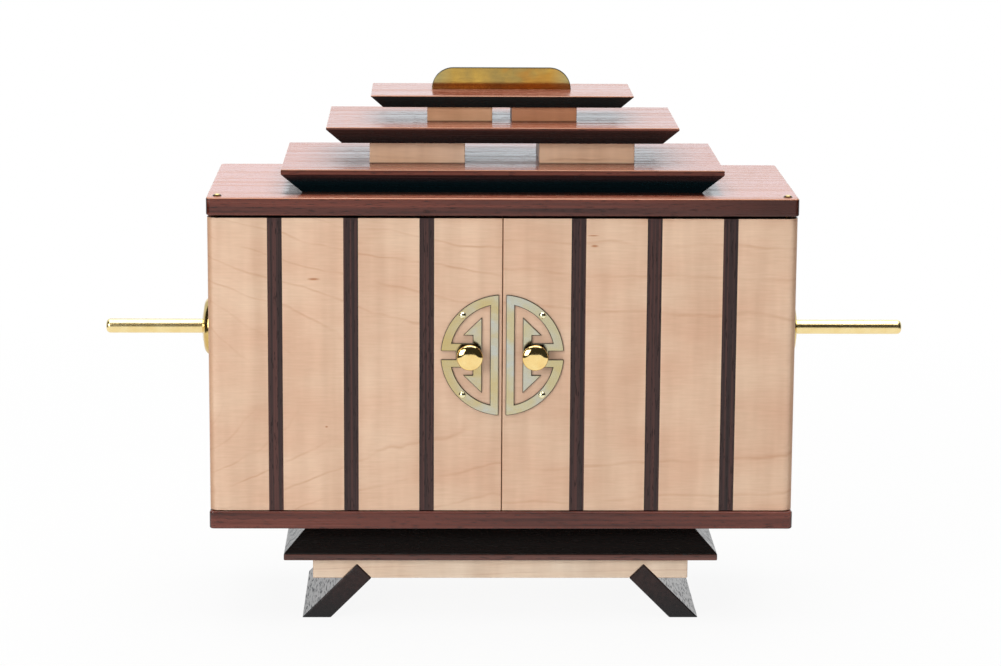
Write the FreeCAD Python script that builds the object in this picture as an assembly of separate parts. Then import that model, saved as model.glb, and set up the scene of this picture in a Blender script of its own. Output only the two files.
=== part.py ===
import FreeCAD, Part
import math
import os

# Wooden puzzle box: a two-door cabinet on splayed feet under a stepped roof, locked by one
# brass rod that runs through both sides. Millimetres, +Z up, floor at Z = 0, doors facing -Y.

Vector = FreeCAD.Vector

# Case boards
LID_W = 254.6
LID_D = 102.0
BOARD_T = 7.8
CASE_H = 130.5
SIDE_T = 7.5
SIDE_SETBACK = 0.2
BACK_T = 6.0
BACK_INSET = 3.0
HOUSING = 2.5
LID_ROUND = 0.8
LID_CORNER = 2.0
STOP_RAIL_W = 90.0
STOP_RAIL_T = 7.5

# Stand
FLOOR_GAP = 18.1
BEAM_W = 165.6
BEAM_D = 76.8
BEAM_T = 9.2
FOOT_T = 9.0
FOOT_TOE = 87.8
PLINTH_T = 16.5
PLINTH_BAND = 2.9

# Roof tiers and the blocks between them
LOWER_TIER_W = 191.0
LOWER_TIER_D = 85.7
LOWER_TIER_T = 11.0
LOWER_TIER_BAND = 2.2
MIDDLE_TIER_W = 152.4
MIDDLE_TIER_D = 72.2
MIDDLE_TIER_T = 7.7
MIDDLE_TIER_BAND = 1.05
UPPER_TIER_W = 114.3
UPPER_TIER_D = 46.2
UPPER_TIER_T = 5.7
UPPER_TIER_BAND = 0.4
LOWER_BLOCK_W = 41.5
LOWER_BLOCK_D = 46.8
LOWER_BLOCK_H = 9.7
LOWER_BLOCK_GAP = 32.4
UPPER_BLOCK_W = 28.4
UPPER_BLOCK_D = 31.4
UPPER_BLOCK_H = 6.5
UPPER_BLOCK_GAP = 8.5
ARRIS = 0.3

# Crest plate. It stands a little behind the middle.
CREST_W = 61.3
CREST_H = 9.5
CREST_T = 2.4
CREST_CORNER = 9.4
CREST_SEAT = 3.0
CREST_BACK = 2.5

# Doors, their inlaid strips and hinge pins
DOOR_T = 8.8
DOOR_SETBACK = 1.0
DOOR_GAP = 0.3
DOOR_TOP_GAP = 1.1
DOOR_BOTTOM_GAP = 0.4
DOOR_ARRIS = 0.4
CLOSING_GAP = 0.3
INLAY_W = 6.35
INLAY_T = 3.2
INLAY_PITCH = 32.7
INLAY_COUNT = 3
PIN_R = 1.6
PIN_HEAD_R = 2.1
PIN_HEAD_H = 1.0
PIN_IN_DOOR = 10.0
PIN_RUN = 0.06
PIN_END_ROOM = 1.0

# Round medallion, one half on each door
MEDAL_R = 26.7
MEDAL_T = 0.8
MEDAL_Z = 121.2
MEDAL_FLAT = 1.55
MEDAL_BAR = 3.75
MEDAL_RING = 4.2
MEDAL_CHANNEL = 3.5
MEDAL_STEM = 4.0
BARB_BASE = 8.7
BARB_TIP = 17.1
BARB_TOP = 16.8
TONGUE_HALF = 5.4
SLOT_HALF = 1.8
SLOT_DEPTH = 6.6
NAIL_ANGLE = 45.5
NAIL_R = 0.75
NAIL_L = 6.0
NAIL_HEAD_R = 1.55
NAIL_HEAD_H = 0.9

# Mushroom knobs and their screws. The reach is from the door to the knob's rim.
KNOB_X = 14.1
KNOB_R = 5.65
KNOB_REACH = 6.115
KNOB_NECK_R = 2.6
KNOB_FOOT_R = 4.0
KNOB_FOOT_T = 0.9
KNOB_SCREW_R = 1.5
KNOB_SCREW_HEAD_R = 3.0
KNOB_SCREW_IN = 5.5

# The crown of a knob from its rim to its middle: shares of the radius where its arcs meet, each
# with the slope there in degrees
KNOB_CROWN = ((1.0, 90.0), (0.926, 36.0), (0.5, 7.2), (0.0, 0.0))

# Lock rod, its rosettes and the keyed arms on the doors
ROD_R = 3.175
ROD_L = 355.6
ROD_Z = 124.1
ROD_SHIFT = 2.1
ROD_END_ROUND = 1.8
ROD_RUN = 0.08
NECK_R = 1.9
NECK_CLEAR = 0.8
LOCK_OVERLAP = 1.5
STOP_PIN_R = 1.2
STOP_PIN_L = 11.0
STOP_CLEAR = 0.3
ROSETTE_R = 13.2
ROSETTE_T = 5.8
ROSETTE_RIM = 1.5
ROSETTE_SHOULDER_R = 9.0
ROSETTE_SHOULDER_DROP = 1.0
SPIGOT_R = 6.0
KEEPER_X = 25.0
KEEPER_T = 2.0
KEEPER_H = 16.0
KEEPER_FOOT_W = 21.0
KEEPER_TAIL = 7.0
KEEPER_CLEAR = 0.35
KEEPER_BEND = 1.2
KEEPER_SCREW_R = 1.2
KEEPER_SCREW_L = 5.0
KEEPER_SCREW_HEAD_R = 2.4
KEEPER_SCREW_HEAD_H = 1.2
KEEPER_SCREW_PITCH = 9.0
KEEPER_SCREW_X = 15.0

# Radial room round a driven nail, pin or screw
DRIVEN = 0.02

# Heights of the stack, from the floor up
PLINTH_Z = FLOOR_GAP + BEAM_T
BOTTOM_Z = PLINTH_Z + PLINTH_T
CASE_Z = BOTTOM_Z + BOARD_T
LID_Z = CASE_Z + CASE_H
LOWER_TIER_Z = LID_Z + BOARD_T
LOWER_BLOCK_Z = LOWER_TIER_Z + LOWER_TIER_T
MIDDLE_TIER_Z = LOWER_BLOCK_Z + LOWER_BLOCK_H
UPPER_BLOCK_Z = MIDDLE_TIER_Z + MIDDLE_TIER_T
UPPER_TIER_Z = UPPER_BLOCK_Z + UPPER_BLOCK_H
CREST_Z = UPPER_TIER_Z + UPPER_TIER_T

# Plan positions that the pieces share
SIDE_OUTER = LID_W / 2 - SIDE_SETBACK
SIDE_INNER = SIDE_OUTER - SIDE_T
CASE_BACK = LID_D / 2 - SIDE_SETBACK
DOOR_FRONT = DOOR_SETBACK - LID_D / 2
DOOR_BACK = DOOR_FRONT + DOOR_T
CASE_FRONT = DOOR_BACK + CLOSING_GAP
DOOR_Z = CASE_Z + DOOR_BOTTOM_GAP
DOOR_TOP = LID_Z - DOOR_TOP_GAP
PIN_X = SIDE_OUTER - DOOR_T / 2
PIN_Y = DOOR_FRONT + DOOR_T / 2

# The arm of a door drifts sideways along the rod while its open end swings clear of the neck
KEEPER_REACH = PIN_X - KEEPER_X
KEEPER_SWING = math.asin((KEEPER_TAIL + NECK_R) / KEEPER_REACH)
KEEPER_DRIFT = KEEPER_REACH * (1 / math.cos(KEEPER_SWING) - 1) - PIN_Y * math.tan(KEEPER_SWING)
NECK_INNER = KEEPER_X - KEEPER_T / 2 - KEEPER_DRIFT - ROD_SHIFT - NECK_CLEAR
NECK_OUTER = KEEPER_X + KEEPER_T / 2 + ROD_SHIFT + NECK_CLEAR
ROD_TRAVEL = KEEPER_X + KEEPER_T / 2 - NECK_INNER + LOCK_OVERLAP
STOP_PIN_X = SIDE_INNER - ROD_TRAVEL - STOP_PIN_R - STOP_CLEAR

UP = Vector(0, 0, 1)
DOWN = Vector(0, 0, -1)
RIGHT = Vector(1, 0, 0)
FORWARD = Vector(0, -1, 0)
BACKWARD = Vector(0, 1, 0)


def box(x0, x1, y0, y1, z0, z1):
    """Box between two corners."""
    return Part.makeBox(x1 - x0, y1 - y0, z1 - z0, Vector(x0, y0, z0))


def centred_box(width, depth, z0, height):
    """Box that is centred on the upright axis."""
    return box(-width / 2, width / 2, -depth / 2, depth / 2, z0, z0 + height)


def mirrored(shape):
    """The same piece on the other side of the box."""
    return shape.mirror(Vector(0, 0, 0), RIGHT)


def edges_where(shape, test):
    """Edges whose two ends both pass a test."""
    return [e for e in shape.Edges if all(test(v.Point) for v in e.Vertexes)]


def at_height(z):
    """Test for points at one height."""
    return lambda point: abs(point.z - z) < 1e-6


def prism(points, y0, y1):
    """Prism along Y over a straight-sided outline of (x, z) corners."""
    corners = [Vector(x, y0, z) for x, z in points]
    outline = Part.makePolygon(corners + corners[:1])
    return Part.Face(outline).extrude(Vector(0, y1 - y0, 0))


def turned(path, base, direction):
    """Turned piece on an axis from base. path holds (radius, height) corners in order, and a pair
    of corners in it is an arc through the first to the second."""
    edges = []
    here = Vector(path[0][0], 0, path[0][1])
    for step in path[1:] + path[:1]:
        curved = isinstance(step[0], tuple)
        corners = [Vector(r, 0, h) for r, h in (step if curved else [step])]
        if curved:
            edges.append(Part.Arc(here, corners[0], corners[1]).toShape())
        else:
            edges.append(Part.makeLine(here, corners[0]))
        here = corners[-1]
    solid = Part.Face(Part.Wire(edges)).revolve(Vector(0, 0, 0), UP, 360)
    solid.Placement = FreeCAD.Placement(base, FreeCAD.Rotation(UP, direction))
    return solid


def dome_headed(shank_r, shank_l, head_r, head_h, base, direction):
    """Nail, pin or screw with a domed head that bears at base and points along direction."""
    ball = (head_r**2 + head_h**2) / (2 * head_h)
    half = math.asin(head_r / ball) / 2
    crown = (ball * math.sin(half), head_h - ball + ball * math.cos(half))
    path = [(0, -shank_l), (shank_r, -shank_l), (shank_r, 0), (head_r, 0), (crown, (0, head_h))]
    return turned(path, base, direction)


def bored(shape, radius, base, direction, length):
    """A piece with one round hole drilled from base."""
    return shape.cut(Part.makeCylinder(radius, length, base, direction))


def back_panel():
    """Back board, let into the sides, the lid and the bottom board."""
    half = SIDE_INNER + HOUSING
    y1 = CASE_BACK - BACK_INSET
    return box(-half, half, y1 - BACK_T, y1, CASE_Z - HOUSING, LID_Z + HOUSING)


def plain_side():
    """Right side board before it is drilled, let into the lid and the bottom board."""
    board = box(SIDE_INNER, SIDE_OUTER, CASE_FRONT, CASE_BACK, CASE_Z - HOUSING, LID_Z + HOUSING)
    return board.cut(back_panel())


def side_panel():
    """Right side board with the bore that its rosette plugs into."""
    return bored(plain_side(), SPIGOT_R + DRIVEN, Vector(SIDE_INNER, 0, ROD_Z), RIGHT, SIDE_T)


def case_board(z0):
    """Lid or bottom board with its housings and the holes for the hinge pins."""
    board = centred_box(LID_W, LID_D, z0, BOARD_T)
    upright = [e for e in board.Edges if abs(e.Length - BOARD_T) < 1e-6]
    board = board.makeFillet(LID_CORNER, upright)
    rims = edges_where(board, at_height(z0)) + edges_where(board, at_height(z0 + BOARD_T))
    board = board.makeFillet(LID_ROUND, rims)
    board = board.cut(plain_side()).cut(mirrored(plain_side())).cut(back_panel())
    for x in (-PIN_X, PIN_X):
        board = bored(board, PIN_R + DRIVEN, Vector(x, PIN_Y, z0), UP, BOARD_T)
    return board


def door_stop_rail():
    """Strip under the lid that both doors close against."""
    half = STOP_RAIL_W / 2
    return box(-half, half, CASE_FRONT, CASE_FRONT + STOP_RAIL_T, LID_Z - STOP_RAIL_T, LID_Z)


def hinge_pin(top):
    """Right hinge pin, driven through the lid or the bottom board into the end of the door."""
    gap = DOOR_TOP_GAP if top else DOOR_BOTTOM_GAP
    head_z = LID_Z + BOARD_T if top else BOTTOM_Z
    length = BOARD_T + gap + PIN_IN_DOOR
    base = Vector(PIN_X, PIN_Y, head_z)
    return dome_headed(PIN_R, length, PIN_HEAD_R, PIN_HEAD_H, base, UP if top else DOWN)


def rosette():
    """Domed brass disc that plugs into the right side board and guides the rod."""
    bore = ROD_R + ROD_RUN
    shoulder = (ROSETTE_SHOULDER_R, ROSETTE_T - ROSETTE_SHOULDER_DROP)
    crown = ((bore + ROSETTE_SHOULDER_R) / 2, ROSETTE_T - ROSETTE_SHOULDER_DROP / 3)
    round_off = math.sqrt(0.5)
    rim_out = ROSETTE_R - ROSETTE_SHOULDER_R
    rim_up = shoulder[1] - ROSETTE_RIM
    rim = (ROSETTE_SHOULDER_R + rim_out * round_off, ROSETTE_RIM + rim_up * round_off)
    path = [
        (bore, -SIDE_T),
        (SPIGOT_R, -SIDE_T),
        (SPIGOT_R, 0),
        (ROSETTE_R, 0),
        (ROSETTE_R, ROSETTE_RIM),
        (rim, shoulder),
        (crown, (bore, ROSETTE_T)),
    ]
    return turned(path, Vector(SIDE_OUTER, 0, ROD_Z), RIGHT)


def eave(width, depth, z0, thick, band):
    """Roof tier: a board whose lower edges are bevelled at 45 degrees up to a thin upright band."""
    board = centred_box(width, depth, z0, thick)
    board = board.makeChamfer(thick - band, edges_where(board, at_height(z0)))
    return board.makeFillet(ARRIS, edges_where(board, at_height(z0 + thick)))


def lower_tier():
    return eave(LOWER_TIER_W, LOWER_TIER_D, LOWER_TIER_Z, LOWER_TIER_T, LOWER_TIER_BAND)


def middle_tier():
    return eave(MIDDLE_TIER_W, MIDDLE_TIER_D, MIDDLE_TIER_Z, MIDDLE_TIER_T, MIDDLE_TIER_BAND)


def upper_tier():
    """Top roof tier with the slot that the crest plate stands in."""
    board = eave(UPPER_TIER_W, UPPER_TIER_D, UPPER_TIER_Z, UPPER_TIER_T, UPPER_TIER_BAND)
    return board.cut(crest_plate())


def roof_block(width, depth, gap, z0, height):
    """Right one of a pair of maple blocks that carry the next tier."""
    block = box(gap / 2, gap / 2 + width, -depth / 2, depth / 2, z0, z0 + height)
    upright = [e for e in block.Edges if abs(e.Length - height) < 1e-6 and e.tangentAt(0).z]
    return block.makeFillet(ARRIS, upright)


def crest_plate():
    """Brass plate with rounded upper corners, standing in the top tier."""
    top = CREST_Z + CREST_H
    plate = centred_box(CREST_W, CREST_T, CREST_Z - CREST_SEAT, CREST_SEAT + CREST_H)
    corners = [e for e in edges_where(plate, at_height(top)) if abs(e.Length - CREST_T) < 1e-6]
    return plate.makeFillet(CREST_CORNER, corners).translated(Vector(0, CREST_BACK, 0))


def plinth():
    """Dark slab under the case, as wide as the lower tier, bevelled at 45 degrees up from a band."""
    slab = centred_box(LOWER_TIER_W, LOWER_TIER_D, PLINTH_Z, PLINTH_T)
    return slab.makeChamfer(PLINTH_T - PLINTH_BAND, edges_where(slab, at_height(BOTTOM_Z)))


def foot():
    """Right splayed foot: a slab at 45 degrees whose square upper end sits in the beam."""
    along = FOOT_T * math.sqrt(2)
    heel = FOOT_TOE - along
    let_in = FOOT_T / math.sqrt(2)
    root_x = heel - FLOOR_GAP
    outline = [
        (heel, 0),
        (FOOT_TOE, 0),
        (root_x + let_in, FLOOR_GAP + let_in),
        (root_x, FLOOR_GAP),
    ]
    return prism(outline, -BEAM_D / 2, BEAM_D / 2)


def foot_beam():
    """Maple board under the plinth, notched for both feet."""
    return centred_box(BEAM_W, BEAM_D, FLOOR_GAP, BEAM_T).cut(foot()).cut(mirrored(foot()))


def inlay(number):
    """Dark strip let into the front of the right door, counted from the middle outwards."""
    x = INLAY_PITCH * number
    return box(x - INLAY_W / 2, x + INLAY_W / 2, DOOR_FRONT, DOOR_FRONT + INLAY_T, DOOR_Z, DOOR_TOP)


def medallion_outline():
    """Right half of the round medallion as one plate, before it is drilled."""
    base = Vector(0, DOOR_FRONT, MEDAL_Z)

    def disc(radius):
        return Part.makeCylinder(radius, MEDAL_T, base, FORWARD)

    def slab(x0, x1, half_height):
        y0 = DOOR_FRONT - MEDAL_T
        return box(x0, x1, y0, DOOR_FRONT, MEDAL_Z - half_height, MEDAL_Z + half_height)

    spine = MEDAL_FLAT + MEDAL_BAR + MEDAL_CHANNEL
    ring_inner = MEDAL_R - MEDAL_RING
    cavity = disc(ring_inner).common(slab(MEDAL_FLAT + MEDAL_BAR, MEDAL_R, MEDAL_R))
    frame = disc(MEDAL_R).common(slab(MEDAL_FLAT, MEDAL_R, MEDAL_R)).cut(cavity)
    corners = [(spine, BARB_BASE), (BARB_TIP, BARB_BASE), (spine, BARB_TOP)]
    barbs = [
        prism([(x, MEDAL_Z + sign * rise) for x, rise in corners], DOOR_FRONT - MEDAL_T, DOOR_FRONT)
        for sign in (-1, 1)
    ]
    stem = slab(spine, spine + MEDAL_STEM, BARB_BASE)
    tongue = slab(spine, MEDAL_R - MEDAL_RING / 2, TONGUE_HALF).common(disc(MEDAL_R))
    plate = frame.fuse(barbs + [stem, tongue])
    return plate.cut(slab(MEDAL_R - SLOT_DEPTH, MEDAL_R, SLOT_HALF)).removeSplitter()


def nail_places():
    """Where the two nails stand, in the middle of the ring."""
    radius = MEDAL_R - MEDAL_RING / 2
    across = radius * math.cos(math.radians(NAIL_ANGLE))
    rise = radius * math.sin(math.radians(NAIL_ANGLE))
    return [Vector(across, DOOR_FRONT - MEDAL_T, MEDAL_Z + sign * rise) for sign in (-1, 1)]


def medallion():
    """Right half of the medallion with its nail and screw holes."""
    plate = medallion_outline()
    for place in nail_places():
        plate = bored(plate, NAIL_R + DRIVEN, place, BACKWARD, MEDAL_T)
    return bored(plate, KNOB_SCREW_R + DRIVEN, knob_seat(), BACKWARD, MEDAL_T)


def medallion_nails():
    """Both domed nails of one half."""
    size = (NAIL_R, NAIL_L, NAIL_HEAD_R, NAIL_HEAD_H)
    return Part.makeCompound([dome_headed(*size, place, FORWARD) for place in nail_places()])


def knob_seat():
    """Point on the medallion where the right knob stands."""
    return Vector(KNOB_X, DOOR_FRONT - MEDAL_T, MEDAL_Z)


def crown_arcs(height):
    """Arcs of a knob's crown from its rim, at this height, to its middle. Each runs on smoothly."""
    arcs = []
    for (outer, steep), (inner, flat) in zip(KNOB_CROWN, KNOB_CROWN[1:]):
        start = math.radians(steep)
        end = math.radians(flat)
        half = (start + end) / 2
        arc_r = KNOB_R * (outer - inner) / (math.sin(start) - math.sin(end))
        through_r = KNOB_R * outer - arc_r * (math.sin(start) - math.sin(half))
        through = (through_r, height + arc_r * (math.cos(half) - math.cos(start)))
        height += arc_r * (math.cos(end) - math.cos(start))
        arcs.append((through, (KNOB_R * inner, height)))
    return arcs


def knob():
    """Mushroom knob turned with a tapered neck and a foot, drilled for its screw."""
    rim = KNOB_REACH - MEDAL_T
    under_r = KNOB_R - KNOB_NECK_R
    bulge = under_r * math.sqrt(0.5)
    path = [
        (0, 0),
        (KNOB_FOOT_R, 0),
        (KNOB_FOOT_R, KNOB_FOOT_T),
        (KNOB_NECK_R, rim - under_r),
        ((KNOB_NECK_R + bulge, rim - bulge), (KNOB_R, rim)),
    ]
    head = turned(path + crown_arcs(rim), knob_seat(), FORWARD)
    return bored(head, KNOB_SCREW_R + DRIVEN, knob_seat(), FORWARD, KNOB_SCREW_IN)


def knob_screw():
    """Countersunk screw from the back of the door into the knob."""
    taper = KNOB_SCREW_HEAD_R - KNOB_SCREW_R
    length = DOOR_T + MEDAL_T + KNOB_SCREW_IN
    path = [
        (0, 0),
        (KNOB_SCREW_HEAD_R, 0),
        (KNOB_SCREW_R, taper),
        (KNOB_SCREW_R, length),
        (0, length),
    ]
    return turned(path, Vector(KNOB_X, DOOR_BACK, MEDAL_Z), FORWARD)


def keeper_screw_places():
    """Where the keeper's screws bear, on the back of its foot."""
    y = DOOR_BACK + KEEPER_T
    x = KEEPER_X + KEEPER_SCREW_X
    return [Vector(x, y, ROD_Z + sign * KEEPER_SCREW_PITCH / 2) for sign in (-1, 1)]


def keeper():
    """Bent brass arm on the back of the right door. Its keyhole lets only the rod's neck out."""
    x0 = KEEPER_X - KEEPER_T / 2
    z0 = ROD_Z - KEEPER_H / 2
    z1 = ROD_Z + KEEPER_H / 2
    foot_plate = box(x0, KEEPER_X + KEEPER_FOOT_W, DOOR_BACK, DOOR_BACK + KEEPER_T, z0, z1)
    arm = box(x0, x0 + KEEPER_T, DOOR_BACK, KEEPER_TAIL, z0, z1)
    arm = arm.fuse(foot_plate).removeSplitter()
    bend = Vector(x0 + KEEPER_T, DOOR_BACK + KEEPER_T, 0)
    inside = edges_where(arm, lambda p: abs(p.x - bend.x) < 1e-6 and abs(p.y - bend.y) < 1e-6)
    arm = arm.makeFillet(KEEPER_BEND, inside)
    slot_half = NECK_R + KEEPER_CLEAR
    arm = arm.cut(box(x0, x0 + KEEPER_T, 0, KEEPER_TAIL, ROD_Z - slot_half, ROD_Z + slot_half))
    arm = bored(arm, ROD_R + KEEPER_CLEAR, Vector(x0, 0, ROD_Z), RIGHT, KEEPER_T)
    for place in keeper_screw_places():
        arm = bored(arm, KEEPER_SCREW_R + DRIVEN, place, FORWARD, KEEPER_T)
    return arm


def keeper_screws():
    """Both screws of one keeper."""
    size = (KEEPER_SCREW_R, KEEPER_T + KEEPER_SCREW_L, KEEPER_SCREW_HEAD_R, KEEPER_SCREW_HEAD_H)
    places = keeper_screw_places()
    return Part.makeCompound([dome_headed(*size, place, BACKWARD) for place in places])


def door_panel():
    """Right door: a maple board with a half-round hinge edge, grooved and drilled for its parts."""
    height = DOOR_TOP - DOOR_Z
    board = box(DOOR_GAP / 2, PIN_X, DOOR_FRONT, DOOR_BACK, DOOR_Z, DOOR_TOP)
    free = [e for e in board.Edges if abs(e.Length - height) < 1e-6 and e.CenterOfMass.x < PIN_X / 2]
    board = board.makeFillet(DOOR_ARRIS, free)
    pin_axis = Vector(PIN_X, PIN_Y, DOOR_Z)
    board = board.fuse(Part.makeCylinder(DOOR_T / 2, height, pin_axis, UP)).removeSplitter()
    for number in range(1, INLAY_COUNT + 1):
        board = board.cut(inlay(number))
    board = bored(board, PIN_R + PIN_RUN, pin_axis, UP, PIN_IN_DOOR)
    top = Vector(PIN_X, PIN_Y, DOOR_TOP)
    board = bored(board, PIN_R + PIN_RUN, top, DOWN, PIN_IN_DOOR + PIN_END_ROOM)
    board = board.cut(knob_screw())
    for place in nail_places():
        board = bored(board, NAIL_R + DRIVEN, place, BACKWARD, NAIL_L)
    for place in keeper_screw_places():
        board = bored(board, KEEPER_SCREW_R + DRIVEN, place, FORWARD, KEEPER_T + KEEPER_SCREW_L)
    return board


def rod():
    """Brass rod with rounded ends and one turned-down neck for each door's arm."""
    half = ROD_L / 2
    tip = ROD_R - ROD_END_ROUND
    bulge = ROD_END_ROUND * math.sqrt(0.5)
    path = [(0, -half), (tip, -half)]
    path.append(((tip + bulge, ROD_END_ROUND - half - bulge), (ROD_R, ROD_END_ROUND - half)))
    for start, end in ((-NECK_OUTER, -NECK_INNER), (NECK_INNER, NECK_OUTER)):
        path += [(ROD_R, start), (NECK_R, start), (NECK_R, end), (ROD_R, end)]
    path.append((ROD_R, half - ROD_END_ROUND))
    path.append(((tip + bulge, half - ROD_END_ROUND + bulge), (tip, half)))
    path.append((0, half))
    bar = turned(path, Vector(ROD_SHIFT, 0, ROD_Z), RIGHT)
    for x in (-STOP_PIN_X, STOP_PIN_X):
        low = Vector(ROD_SHIFT + x, 0, ROD_Z - ROD_R)
        bar = bored(bar, STOP_PIN_R + DRIVEN, low, UP, 2 * ROD_R)
    return bar


def rod_stop_pins():
    """Cross pins that stop the rod against the inside of the side boards."""
    z0 = ROD_Z - STOP_PIN_L / 2
    places = [Vector(ROD_SHIFT + x, 0, z0) for x in (-STOP_PIN_X, STOP_PIN_X)]
    return Part.makeCompound([Part.makeCylinder(STOP_PIN_R, STOP_PIN_L, p, UP) for p in places])


def single_pieces():
    """Pieces that the box has once."""
    return {
        "lid_board": case_board(LID_Z),
        "bottom_board": case_board(BOTTOM_Z),
        "back_panel": back_panel(),
        "door_stop_rail": door_stop_rail(),
        "roof_lower_tier": lower_tier(),
        "roof_middle_tier": middle_tier(),
        "roof_upper_tier": upper_tier(),
        "crest_plate": crest_plate(),
        "plinth": plinth(),
        "foot_beam": foot_beam(),
        "lock_rod": rod(),
        "rod_stop_pins": rod_stop_pins(),
    }


def right_hand_pieces():
    """Pieces that the box has as a mirrored pair."""
    lower = (LOWER_BLOCK_W, LOWER_BLOCK_D, LOWER_BLOCK_GAP, LOWER_BLOCK_Z, LOWER_BLOCK_H)
    upper = (UPPER_BLOCK_W, UPPER_BLOCK_D, UPPER_BLOCK_GAP, UPPER_BLOCK_Z, UPPER_BLOCK_H)
    pieces = {
        "side_panel": side_panel(),
        "top_hinge_pin": hinge_pin(True),
        "bottom_hinge_pin": hinge_pin(False),
        "rosette": rosette(),
        "lower_block": roof_block(*lower),
        "upper_block": roof_block(*upper),
        "foot": foot(),
        "door_panel": door_panel(),
        "medallion": medallion(),
        "medallion_nails": medallion_nails(),
        "knob": knob(),
        "knob_screw": knob_screw(),
        "keeper": keeper(),
        "keeper_screws": keeper_screws(),
    }
    for number in range(1, INLAY_COUNT + 1):
        pieces["door_inlay_%d" % number] = inlay(number)
    return pieces


def all_pieces():
    """Every piece by name."""
    pieces = single_pieces()
    for name, shape in right_hand_pieces().items():
        pieces["right_" + name] = shape
        pieces["left_" + name] = mirrored(shape)
    return pieces


def to_origin():
    """Shift that puts the origin on the floor under the middle of the whole box, knobs included."""
    knob_tip = crown_arcs(KNOB_REACH)[-1][1][1]
    return Vector(0, (knob_tip - DOOR_FRONT - LID_D / 2) / 2, 0)


os.makedirs("parts", exist_ok=True)
for name, shape in all_pieces().items():
    shape.translate(to_origin())
    shape.exportStep("parts/%s.step" % name)
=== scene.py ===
"""Looks of the wooden puzzle box: its woods, its brass and its studio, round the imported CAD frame.

Metres, in the part's own frame: +X right, +Y from the doors to the back, +Z up, floor at Z = 0.
"""

import logging
import math
from collections.abc import Mapping, Sequence
from dataclasses import dataclass
from enum import Enum
from functools import cache

import bmesh
import bpy
from mathutils import Matrix, Vector


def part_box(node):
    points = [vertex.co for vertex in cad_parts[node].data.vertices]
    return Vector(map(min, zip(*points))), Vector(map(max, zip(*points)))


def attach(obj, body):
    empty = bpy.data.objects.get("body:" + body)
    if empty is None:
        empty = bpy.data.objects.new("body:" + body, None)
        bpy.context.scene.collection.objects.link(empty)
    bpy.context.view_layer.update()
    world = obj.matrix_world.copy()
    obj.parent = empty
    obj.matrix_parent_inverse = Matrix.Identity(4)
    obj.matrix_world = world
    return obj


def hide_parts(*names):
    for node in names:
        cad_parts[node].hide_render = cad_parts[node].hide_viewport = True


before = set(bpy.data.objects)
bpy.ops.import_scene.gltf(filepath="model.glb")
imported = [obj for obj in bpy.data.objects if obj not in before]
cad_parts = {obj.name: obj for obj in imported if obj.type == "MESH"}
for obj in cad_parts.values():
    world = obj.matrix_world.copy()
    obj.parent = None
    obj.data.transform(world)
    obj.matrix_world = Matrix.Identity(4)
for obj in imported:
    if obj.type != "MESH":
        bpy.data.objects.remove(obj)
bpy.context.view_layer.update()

LOG = logging.getLogger("puzzle_box")
MM = 0.001
IMAGE_W = 1001

# Shares that a colour ramp gives: none, all, how far the painted top light goes, how far the painted
# highlight on rubbed upper edges goes, and how far tarnish goes.
BLACK = "#000000"
WHITE = "#ffffff"
TOP_LIGHT_SHARE = "#e8e8e8"
WEAR_AND_HIGHLIGHT = "#d0d0d0"
STAINED = "#b0b0b0"

# How dark a growth ring is from its early to its late wood, and a fine line between two rings.
LATE_WOOD = ((0.0, BLACK), (0.6, "#0c0c0c"), (0.86, "#3c3c3c"), (0.94, WHITE), (1.0, BLACK))
FINE_WOOD = ((0.3, BLACK), (0.85, "#5c5c5c"), (1.0, BLACK))

# Where the shade under a piece begins and ends to fade, counted outwards from the piece's edge.
SHADE_MM = (-2.0, 0.5)

# Points this close are joined, faces this level become one, and an edge this sharp is an arris.
WELD_MM = 0.01
LEVEL_DEGREES = 0.5
ARRIS_DEGREES = 30.0
ARRIS_STEPS = 3

Colour = tuple[float, float, float, float]
Triple = tuple[float, float, float]
Span = tuple[float, float]
Socket = bpy.types.NodeSocket


def linear(code: str) -> Colour:
    """Turns an sRGB hex colour to linear light.

    Args:
        code: The colour, such as "#deba9e".

    Returns:
        Red, green, blue and a full alpha.
    """
    parts = [int(code[i : i + 2], 16) / 255 for i in (1, 3, 5)]
    light = [p / 12.92 if p <= 0.04045 else ((p + 0.055) / 1.055) ** 2.4 for p in parts]
    return (*light, 1.0)


def per_metre(size_mm: float) -> float:
    """How often a pattern of this size in millimetres repeats in a metre."""
    return 1 / (size_mm * MM)


def add_node(
    tree: bpy.types.NodeTree,
    kind: str,
    links: Mapping[int | str, object] | None = None,
    stops: Sequence[tuple[float, str]] = (),
    **settings: object,
) -> bpy.types.Node:
    """Adds one node with its settings and links.

    Args:
        tree: The tree that the node joins.
        kind: Blender's name for the node, without the ShaderNode in front.
        links: For each input, by name or number, an output socket or a constant.
        stops: Places and hex colours of a colour ramp, in order.
        settings: The node's own properties.

    Returns:
        The new node.
    """
    node = tree.nodes.new("ShaderNode" + kind)
    for name, value in settings.items():
        setattr(node, name, value)
    if stops:
        ramp = node.color_ramp.elements
        ramp[0].position = stops[0][0]
        ramp[1].position = stops[-1][0]
        for place, _ in stops[1:-1]:
            ramp.new(place)
        for mark, (_, code) in zip(ramp, stops):
            mark.color = linear(code)
    for key, value in (links or {}).items():
        if isinstance(value, bpy.types.NodeSocket):
            tree.links.new(value, node.inputs[key])
        else:
            node.inputs[key].default_value = value
    return node


def mix(
    tree: bpy.types.NodeTree, share: object, under: object, over: object, kind: str = "MIX"
) -> Socket:
    """Lays one colour over another.

    Args:
        tree: The tree that does it.
        share: How much of the upper colour shows.
        under: The lower colour.
        over: The upper colour.
        kind: Blender's name for the way they mix.

    Returns:
        The socket with the mixed colour.
    """
    # Inputs 6 and 7 and output 2 are the ones that carry colours.
    links = {0: share, 6: under, 7: over}
    return add_node(tree, "Mix", links, data_type="RGBA", blend_type=kind).outputs[2]


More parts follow.
